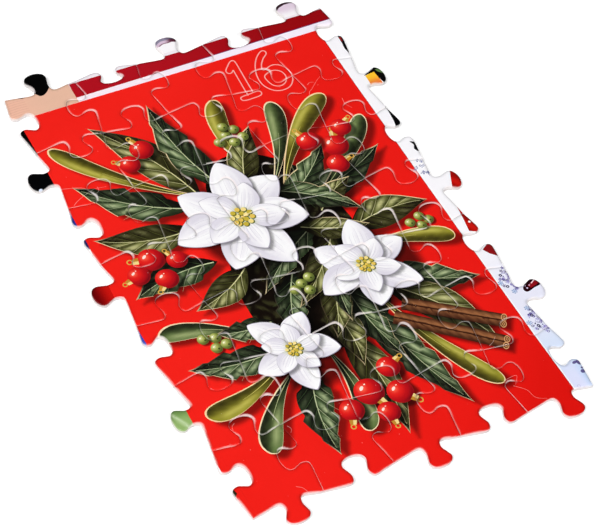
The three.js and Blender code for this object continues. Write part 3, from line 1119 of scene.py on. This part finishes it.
sample_bulge = bulge_of(sample_cut)
# the white line along the middle piece's cut: bare paper, with painted highlight on sides facing
# the camera
sample_bared_and_lit = bared_paper_and_highlight(sample_cut, sample_bulge, np.random.default_rng(1))
print("the middle piece's cut line: bend %.1f to %.1f" % (sample_bulge.min(), sample_bulge.max()))
print("its mean share of bared paper: %.2f" % sample_bared_and_lit.mean())

# %% [markdown]
# ## The printed face
# The face has to hold three things at once: the cut line, the rings of the rim,
# and every edge of the picture. A constrained triangulation takes all of them as
# edges and fills in the rest with triangles that are as even as they can be. A
# hexagonal grid of extra points keeps the triangles small enough for the soft
# shading between the edges.

# %% gather edges for one face
grid_step = 0.65


def inside_grid(line):
    """A hexagonal grid of points that lie well inside the cut line."""
    low, high = line.min(0), line.max(0)
    rise = grid_step * math.sqrt(3) / 2
    points = [(x + 0.5 * grid_step * (number % 2), y)
              for number, y in enumerate(np.arange(low[1], high[1], rise))
              for x in np.arange(low[0], high[0], grid_step)]
    points = np.array(points)
    points = points[is_inside(points, [line])]
    away, _ = distance_to(line, points)
    return points[away > rim_rings[-1] + 0.2]


picture_loops = [to_board(loop) for shape in stack for loop in shape["loops"]]
picture_loops += [to_board(loop) for loop in guide_loops]
edge_starts = np.concatenate(picture_loops)
edge_ends = np.concatenate([np.roll(loop, -1, 0) for loop in picture_loops])
print("picture edges:", len(edge_starts))


def edges_near(line):
    """The picture's edges that may cross a piece."""
    low, high = line.min(0) - 0.05, line.max(0) + 0.05
    left, right = np.minimum(edge_starts, edge_ends), np.maximum(edge_starts, edge_ends)
    kept = ((right > low) & (left < high)).all(1)
    kept &= np.linalg.norm(edge_starts - edge_ends, axis=1) > 1e-4
    return edge_starts[kept], edge_ends[kept]


# %% triangulate one face
def triangulate(line, extra_loops=(), extra_points=(), extra_edges=None):
    """Points and triangles that fill a closed line and respect the extra edges."""
    points, edges = [], []
    for loop in (line, *extra_loops):
        first = sum(len(p) for p in points)
        points.append(loop)
        numbers = np.arange(len(loop))
        edges += list(zip(first + numbers, first + np.roll(numbers, -1)))
    if len(extra_points):
        points.append(np.asarray(extra_points))
    if extra_edges is not None:
        first = sum(len(p) for p in points)
        count = len(extra_edges[0])
        points += [extra_edges[0], extra_edges[1]]
        edges += [(first + number, first + count + number) for number in range(count)]
    vectors = [Vector(p) for p in np.concatenate(points)]
    pairs = [(int(a), int(b)) for a, b in edges]
    found = delaunay_2d_cdt(vectors, pairs, [], 0, 1e-4)
    places = np.array(found[0])
    faces = np.array(found[2])
    middles = places[faces].mean(1)
    faces = faces[is_inside(middles, [line])]
    used, faces = np.unique(faces, return_inverse=True)
    return places[used], faces.reshape(-1, 3)


def border_of(faces):
    """The outer edge of a set of triangles, as vertex numbers in order."""
    pairs = {(int(a), int(b)) for face in faces for a, b in zip(face, np.roll(face, -1))}
    follow = {a: b for a, b in pairs if (b, a) not in pairs}
    first = min(follow)
    run = [first]
    while follow[run[-1]] != first:
        run.append(follow[run[-1]])
    return run if len(run) == len(follow) else None


sample_places, sample_faces = triangulate(sample_cut, extra_points=inside_grid(sample_cut))
sample_border = border_of(sample_faces)
print("plain middle piece:", len(sample_faces), "triangles, border of", len(sample_border))

# %% [markdown]
# ## Materials
# Three things are seen: the varnished print, the cut edge of the board, and the
# backing paper. Each is one Principled shader with procedural detail, built by a
# single small function that adds a node, its settings and its links.

# %% one function adds a node
def add_node(tree, kind, inputs=None, **settings):
    """Adds a node. inputs are socket values or other nodes' outputs, by socket name or number."""
    node = tree.nodes.new(kind)
    for name, value in settings.items():
        setattr(node, name, value)
    for name, value in (inputs or {}).items():
        if isinstance(value, bpy.types.NodeSocket):
            tree.links.new(value, node.inputs[name])
        else:
            node.inputs[name].default_value = value
    return node


def new_material(name):
    """An empty node material and its tree."""
    material = bpy.data.materials.new(name)
    material.use_nodes = True
    material.node_tree.nodes.clear()
    return material, material.node_tree


def finish_material(tree, shader):
    """Joins a shader to the material's output."""
    add_node(tree, "ShaderNodeOutputMaterial", {"Surface": shader.outputs[0]})


print("node helper ready")

# %% [markdown]
# ## Varnished offset print
# Offset ink on coated paper, sealed with a thin varnish. The varnish gives a clean
# but not mirror-like shine, IOR 1.5 and roughness near 0.2, and it settles with a
# faint orange peel about 0.35 mm across, the grain of the paper under it. The ink
# itself is a little uneven, in patches of a few millimetres.

# %% the print's material
def varnished_print():
    """Glossy ink whose colour comes from the picture painted on the mesh."""
    material, tree = new_material("varnished_offset_print")
    place = add_node(tree, "ShaderNodeTexCoord").outputs["Object"]
    ink = add_node(tree, "ShaderNodeAttribute", attribute_name="printed_colour").outputs["Color"]
    patch = add_node(tree, "ShaderNodeTexNoise", {
        "Vector": place, "Scale": 1 / (3.5 * MM), "Detail": 3.0})
    fibre = add_node(tree, "ShaderNodeTexNoise", {
        "Vector": place, "Scale": 1 / (0.35 * MM), "Detail": 2.0})
    uneven = add_node(tree, "ShaderNodeMath", {
        0: patch.outputs["Fac"], 1: fibre.outputs["Fac"]}, operation="ADD")
    tone = add_node(tree, "ShaderNodeMapRange", {
        "Value": uneven.outputs[0], "From Min": 0.7, "From Max": 1.3,
        "To Min": 0.985, "To Max": 1.01})
    toned = add_node(tree, "ShaderNodeVectorMath", {
        0: ink, "Scale": tone.outputs[0]}, operation="SCALE")
    shine = add_node(tree, "ShaderNodeMapRange", {
        "Value": patch.outputs["Fac"], "From Min": 0.3, "From Max": 0.7,
        "To Min": 0.17, "To Max": 0.22})
    peel = add_node(tree, "ShaderNodeBump", {
        "Height": fibre.outputs["Fac"], "Strength": 0.06, "Distance": 0.02 * MM})
    shader = add_node(tree, "ShaderNodeBsdfPrincipled", {
        "Base Color": toned.outputs[0], "Roughness": shine.outputs[0], "Normal": peel.outputs[0],
        "IOR": 1.5, "Specular IOR Level": 0.35, "Coat Weight": 0.0})
    finish_material(tree, shader)
    return material


# %% [markdown]
# ## Cut board and backing
# The core is solid bleached board, pressed from many plies, so its cut edge shows
# fine level layers about a fifth of a millimetre thick and tufts of torn fibre. The
# upper half of the wall takes on some of the print's colour from the border above
# it, less towards the foot. How much is stored in the alpha of the painted colours,
# which the shader mixes into the board. The back is uncoated paper, slightly grey,
# flecked and quite matt.

# %% the board's two materials
# a colour Mix node's two colours and its result, by socket number
mix_a, mix_b, mix_result = 6, 7, 2


def board_core():
    """The cut edge of solid bleached board."""
    material, tree = new_material("solid_bleached_board_edge")
    place = add_node(tree, "ShaderNodeTexCoord").outputs["Object"]
    flat = add_node(tree, "ShaderNodeMapping", {"Vector": place, "Scale": (1.0, 1.0, 5.0)})
    plies = add_node(tree, "ShaderNodeTexNoise", {
        "Vector": flat.outputs[0], "Scale": 1 / (1.1 * MM), "Detail": 4.0, "Roughness": 0.6})
    board = add_node(tree, "ShaderNodeMix", {
        0: plies.outputs["Fac"], mix_a: linear_rgba("#E9E3E1"),
        mix_b: linear_rgba("#FAF6F5")}, data_type="RGBA")
    border_print = add_node(tree, "ShaderNodeAttribute", attribute_name="printed_colour")
    tint = add_node(tree, "ShaderNodeMix", {
        0: border_print.outputs["Alpha"], mix_a: board.outputs[mix_result],
        mix_b: border_print.outputs["Color"]}, data_type="RGBA")
    tufts = add_node(tree, "ShaderNodeBump", {
        "Height": plies.outputs["Fac"], "Strength": 0.5, "Distance": 0.05 * MM})
    shader = add_node(tree, "ShaderNodeBsdfPrincipled", {
        "Base Color": tint.outputs[mix_result], "Roughness": 0.85, "Normal": tufts.outputs[0],
        "Specular IOR Level": 0.25})
    finish_material(tree, shader)
    return material


def backing_paper():
    """Uncoated paper with small grey flecks."""
    material, tree = new_material("uncoated_backing_paper")
    place = add_node(tree, "ShaderNodeTexCoord").outputs["Object"]
    pulp = add_node(tree, "ShaderNodeTexNoise", {
        "Vector": place, "Scale": 1 / (0.9 * MM), "Detail": 5.0, "Roughness": 0.65})
    fleck = add_node(tree, "ShaderNodeMapRange", {
        "Value": pulp.outputs["Fac"], "From Min": 0.35, "From Max": 0.62})
    tint = add_node(tree, "ShaderNodeMix", {
        0: fleck.outputs[0], mix_a: linear_rgba("#CFC9C0"),
        mix_b: linear_rgba("#E9E5DE")}, data_type="RGBA")
    tooth = add_node(tree, "ShaderNodeBump", {
        "Height": pulp.outputs["Fac"], "Strength": 0.3, "Distance": 0.03 * MM})
    shader = add_node(tree, "ShaderNodeBsdfPrincipled", {
        "Base Color": tint.outputs[mix_result], "Roughness": 0.9, "Normal": tooth.outputs[0],
        "Specular IOR Level": 0.2})
    finish_material(tree, shader)
    return material


face_materials = [varnished_print(), board_core(), backing_paper()]
print("materials:", ", ".join(material.name for material in face_materials))

# %% [markdown]
# ## One piece
# A piece is the printed face, a wall in a few rows that bulges by a hair where the
# board springs back and is cut under by 0.2 mm at its foot, and the backing. The
# rows reuse the face's own border, so the mesh is closed. No two pieces sit quite
# alike, so each one gets its own tiny lift, tilt and bow. At the highest corner
# they add up to a third of a millimetre.

# %% how one piece sits
def seating(chance):
    """How one piece sits, in slopes, radians and millimetres, and how soft its rim is."""
    return {"tilt": chance.uniform(-0.0075, 0.0075, 2),
            "bow": chance.uniform(-0.00012, 0.00028),
            "turn": chance.uniform(-0.0010, 0.0010),
            "slide": chance.uniform(-0.012, 0.012, 2),
            "lift": chance.uniform(0.0, 0.09),
            "crush": chance.uniform(0.6, 1.35)}


def seat(points, heights, middle, sitting, lowest=None):
    """Moves a piece's points by the way it sits."""
    offset = points - middle
    rise = offset @ sitting["tilt"] + sitting["bow"] * (offset ** 2).sum(1)
    floor = rise.min() if lowest is None else lowest
    x, y = offset.T
    c, s = math.cos(sitting["turn"]), math.sin(sitting["turn"])
    placed = middle + np.stack([c * x - s * y, s * x + c * y], 1) + sitting["slide"]
    return np.column_stack([placed, heights + rise - floor + sitting["lift"]]), floor


sample_seating = seating(np.random.default_rng(1))
print("one piece's tilt in degrees:", np.degrees(sample_seating["tilt"]).round(2).tolist())

# %% the inks of one face
# pinkish bare paper, also used as the painted highlight along the cut
bare_paper_highlight = "#FFF4F3"


def face_inks(line, places, faces, bared_and_lit, exposed):
    """The picture's colours at a face's corners, with bare paper, painted highlight and painted
    shade beside the cut.
    """
    away, nearest = distance_to(line, places)
    # painted shade beside the cut: on sides turned away from the camera, and on the section's open
    # sides
    rim_shade, open_edge_shade = painted_rim_shade(line, away, nearest, exposed)
    strength = bared_and_lit[nearest]
    inks = paint(to_picture(places)[faces])
    cover = 1 - inks.min(-1)  # pale print takes little of the painted shade on the open sides
    kept = (1 - rim_shade[faces]) * (1 - open_edge_shade[faces] * (0.2 + 0.8 * cover))
    inks = inks * kept[..., None]
    heavy = 1 - inks.max(-1)  # bare paper and painted highlight show more on a heavy dark ink than on a bright one
    # share of the white line: bare paper, with painted highlight where a side faces the camera
    torn = np.clip(0.5 + 0.42 * strength[faces] + 0.28 * heavy, 0, 1.05)
    return blend_inks(inks, srgb(bare_paper_highlight), bare_and_highlight_share(away, strength)[faces] * torn)


sample_inks = face_inks(sample_cut, sample_places, sample_faces, sample_bared_and_lit,
                        np.zeros(len(sample_cut)))
print("mean ink of the middle piece:", sample_inks.mean((0, 1)).round(2).tolist())

# %% the cut wall and the back
# each row of the wall: how far out it lies, its share of the height, and its share of ink
wall_rows = [(0.01, 0.82, 0.42), (0.016, 0.5, 0.1), (0.0, 0.17, 0.02), (-0.2, 0.0, 0.0)]


def wall_faces(border, first, edge_ink):
    """The wall's faces, row by row below the border, and the ink at their corners."""
    count = len(border)
    faces, inks, above, ink_share_above = [], [], border, wall_rows[0][2]
    for row, (_, _, ink_share) in enumerate(wall_rows):
        below = list(range(first + row * count, first + (row + 1) * count))
        for number in range(count):
            after = (number + 1) % count
            faces.append((above[number], below[number], below[after], above[after]))
            for place, share in ((number, ink_share_above), (number, ink_share), (after, ink_share),
                                 (after, ink_share_above)):
                inks.append((*edge_ink[place], share))
        above, ink_share_above = below, ink_share
    return faces, np.array(inks)


def back_faces(low_line, first):
    """The backing's triangles, turned so that they face down."""
    faces = []
    for corners in tessellate_polygon([[Vector((x, y, 0)) for x, y in low_line]]):
        a, b, c = (low_line[number] for number in corners)
        faces_up = (b[0] - a[0]) * (c[1] - a[1]) - (b[1] - a[1]) * (c[0] - a[0]) > 0
        faces.append(tuple(first + number for number in (corners[::-1] if faces_up else corners)))
    return faces


print("rows in the cut wall:", len(wall_rows))

# %% build the mesh of one piece
def closed_mesh(name, points, groups):
    """A mesh whose groups of faces take the three materials in order."""
    mesh = bpy.data.meshes.new(name)
    mesh.from_pydata((points * MM).tolist(), [], [face for group in groups for face in group])
    for material in face_materials:
        mesh.materials.append(material)
    kinds = np.repeat(range(len(groups)), [len(group) for group in groups])
    mesh.polygons.foreach_set("material_index", kinds)
    return mesh


def store_inks(mesh, inks, wall_inks):
    """Writes the colours of the face and the wall to the mesh, and leaves the back white."""
    colours = np.ones((len(mesh.loops), 4))
    face_end, wall_end = len(inks), len(inks) + len(wall_inks)
    colours[:face_end, :3] = to_linear(inks)
    colours[face_end:wall_end] = wall_inks
    colours[face_end:wall_end, :3] = to_linear(wall_inks[:, :3])
    layer = mesh.color_attributes.new("printed_colour", "FLOAT_COLOR", "CORNER")
    layer.data.foreach_set("color", colours.ravel())


def piece_mesh(name, line, middle, chance, exposed):
    """The closed mesh of one piece, with the picture painted on its face."""
    rings = [line - outward(line) * depth for depth in rim_rings[1:]]
    places, faces = triangulate(line, rings, inside_grid(line), edges_near(line))
    border = border_of(faces)
    if border is None:
        raise ValueError(f"{name} has a broken border")
    away, nearest = distance_to(line, places)
    sitting, bulge = seating(chance), bulge_of(line)
    softness = np.clip(1 + 0.6 * ripple_of(line, chance), 0.3, 1.8)
    width, drop = rim_shape(bulge, sitting["crush"] * softness)
    heights = board_thickness + rim_height(away, width[nearest], drop[nearest])
    # the white line along the cut: bare paper, with painted highlight on sides facing the camera
    bared_and_lit = bared_paper_and_highlight(line, bulge, chance)
    inks = face_inks(line, places, faces, bared_and_lit, exposed).reshape(-1, 3)

    rim, step_out = places[border], outward(places[border])
    low_line = rim + step_out * wall_rows[-1][0]
    _, floor = seat(low_line, np.zeros(len(low_line)), middle, sitting)
    blocks = [seat(places, heights, middle, sitting, floor)[0]]
    for out, share, _ in wall_rows:
        row_line = rim + step_out * out
        blocks.append(seat(row_line, heights[border] * share, middle, sitting, floor)[0])

    point_inks = np.zeros((len(places), 3))
    point_inks[faces.ravel()] = inks
    wall, wall_inks = wall_faces(border, len(places), point_inks[border])
    back = back_faces(low_line, len(places) + (len(wall_rows) - 1) * len(rim))
    mesh = closed_mesh(name, np.concatenate(blocks), (faces.tolist(), wall, back))
    store_inks(mesh, inks, wall_inks)
    return mesh


print("a mesh's materials:", len(face_materials))

# %% make all 35 pieces
sharp_angle = math.radians(50)  # edges that bend more than this stay sharp


made = []
for row in range(1, rows + 1):
    for column in range(1, columns + 1):
        node = f"piece_r{row}_c{column}"
        chance = np.random.default_rng(100 * row + column)
        middle = cell_middle(row, column)
        run = cut_line(node)
        line = smooth_cut(run, corner_numbers(run, middle))
        exposed = open_side(line, middle, row, column)
        mesh = piece_mesh(f"printed_r{row}_c{column}", line, middle, chance, exposed)
        piece = bpy.data.objects.new(mesh.name, mesh)
        bpy.context.scene.collection.objects.link(piece)
        mesh.shade_smooth()
        mesh.set_sharp_from_angle(angle=sharp_angle)
        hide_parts(node)
        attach(piece, node)
        made.append(piece)
print("pieces:", len(made), "faces in all:", sum(len(piece.data.polygons) for piece in made))

# %% [markdown]
# ## Floor and studio
# The section lies on a white sweep. The world is pale grey near the horizon and
# nearly black towards the ceiling, which keeps the flat varnish rich in colour
# while the rolled rims, which tip towards the horizon, catch pale lines. One
# function sets a soft lamp by the level of light it gives on the table, so that the
# levels can simply be added up to about 1, where a colour renders as it is written.
# The floor glows a little for the camera and in reflections, so that it stays white
# without more light on the object.

# %% floor
floor_lift = 0.22  # the floor's own glow, where 1 is white


def make_floor():
    """A large white sheet under the object."""
    material, tree = new_material("matt_white_sweep")
    path = add_node(tree, "ShaderNodeLightPath")
    seen = path.outputs["Is Camera Ray"]
    for ray in ("Is Glossy Ray", "Is Transmission Ray"):
        seen = add_node(tree, "ShaderNodeMath", {0: seen, 1: path.outputs[ray]},
                        operation="MAXIMUM").outputs[0]
    lift = add_node(tree, "ShaderNodeMath", {0: seen, 1: floor_lift}, operation="MULTIPLY")
    shader = add_node(tree, "ShaderNodeBsdfPrincipled", {
        "Base Color": linear_rgba("#F6F6F6"), "Roughness": 0.95, "Specular IOR Level": 0.1,
        "Emission Color": (1.0, 1.0, 1.0, 1.0), "Emission Strength": lift.outputs[0]})
    finish_material(tree, shader)
    mesh = bpy.data.meshes.new("floor")
    reach = 6.0
    corners = [(-reach, -reach, 0), (reach, -reach, 0), (reach, reach, 0), (-reach, reach, 0)]
    mesh.from_pydata(corners, [], [(0, 1, 2, 3)])
    mesh.materials.append(material)
    floor = bpy.data.objects.new("floor", mesh)
    floor.location.z = -0.02 * MM
    bpy.context.scene.collection.objects.link(floor)


make_floor()
print("floor laid")

# %% world
world = bpy.data.worlds.new("studio")
bpy.context.scene.world = world
world.use_nodes = True
world.node_tree.nodes.clear()
way = add_node(world.node_tree, "ShaderNodeTexCoord").outputs["Generated"]
height = add_node(world.node_tree, "ShaderNodeSeparateXYZ", {0: way}).outputs["Z"]
sweep = add_node(world.node_tree, "ShaderNodeValToRGB", {0: height})
for stop, (place, grey) in enumerate(((0.1, 0.45), (0.4, 0.03))):
    sweep.color_ramp.elements[stop].position = place
    sweep.color_ramp.elements[stop].color = (grey, grey, grey, 1)
background = add_node(world.node_tree, "ShaderNodeBackground", {
    "Color": sweep.outputs[0], "Strength": 1.0})
add_node(world.node_tree, "ShaderNodeOutputWorld", {0: background.outputs[0]})
print("world set")

# %% soft lamps
def soft_lamp(name, way, distance, level, width, height, tint=(1.0, 1.0, 1.0)):
    """An area lamp that adds the given level of light on the table."""
    way = Vector(way).normalized()
    data = bpy.data.lights.new(name, "AREA")
    data.shape, data.size, data.size_y = "RECTANGLE", width, height
    data.energy = level * math.pi ** 2 * distance ** 2 / way.z
    data.color = tint
    lamp = bpy.data.objects.new(name, data)
    lamp.location = way * distance
    lamp.rotation_euler = (-way).to_track_quat("-Z", "Y").to_euler()
    bpy.context.scene.collection.objects.link(lamp)


lamp_distance = 3.0
soft_lamp("key", (-0.62, -0.22, 0.8), lamp_distance, level=0.69, width=1.7, height=1.7)
soft_lamp("fill", (0.35, -0.5, 0.79), lamp_distance, level=0.37, width=1.7, height=1.3)
print("lamps:", [lamp.name for lamp in bpy.data.lights])

# %% [markdown]
# ## Camera
# The photograph looks down at the section from one corner, through a long lens, and
# is turned a little about its own axis. The place comes from fitting the grid of
# seams to what the photograph shows.

# %% camera
camera_place = Vector((-190.157, -262.612, 380.67)) * MM
camera_aim = Vector((-1.007, -8.812, 1.5)) * MM
camera_roll = math.radians(10.88)
lens_data = bpy.data.cameras.new("camera")
lens_data.lens, lens_data.sensor_width, lens_data.sensor_fit = 118.5, 36.0, "HORIZONTAL"
lens_data.clip_start = 0.01
camera = bpy.data.objects.new("camera", lens_data)
camera.location = camera_place
facing = (camera_aim - camera_place).to_track_quat("-Z", "Y")
camera.rotation_mode = "QUATERNION"
camera.rotation_quaternion = facing @ Quaternion((0, 0, 1), camera_roll)
bpy.context.scene.collection.objects.link(camera)
bpy.context.scene.camera = camera
bpy.context.scene.view_settings.view_transform = "Standard"
print("camera right:", [round(v, 3) for v in camera.rotation_quaternion @ Vector((1, 0, 0))])
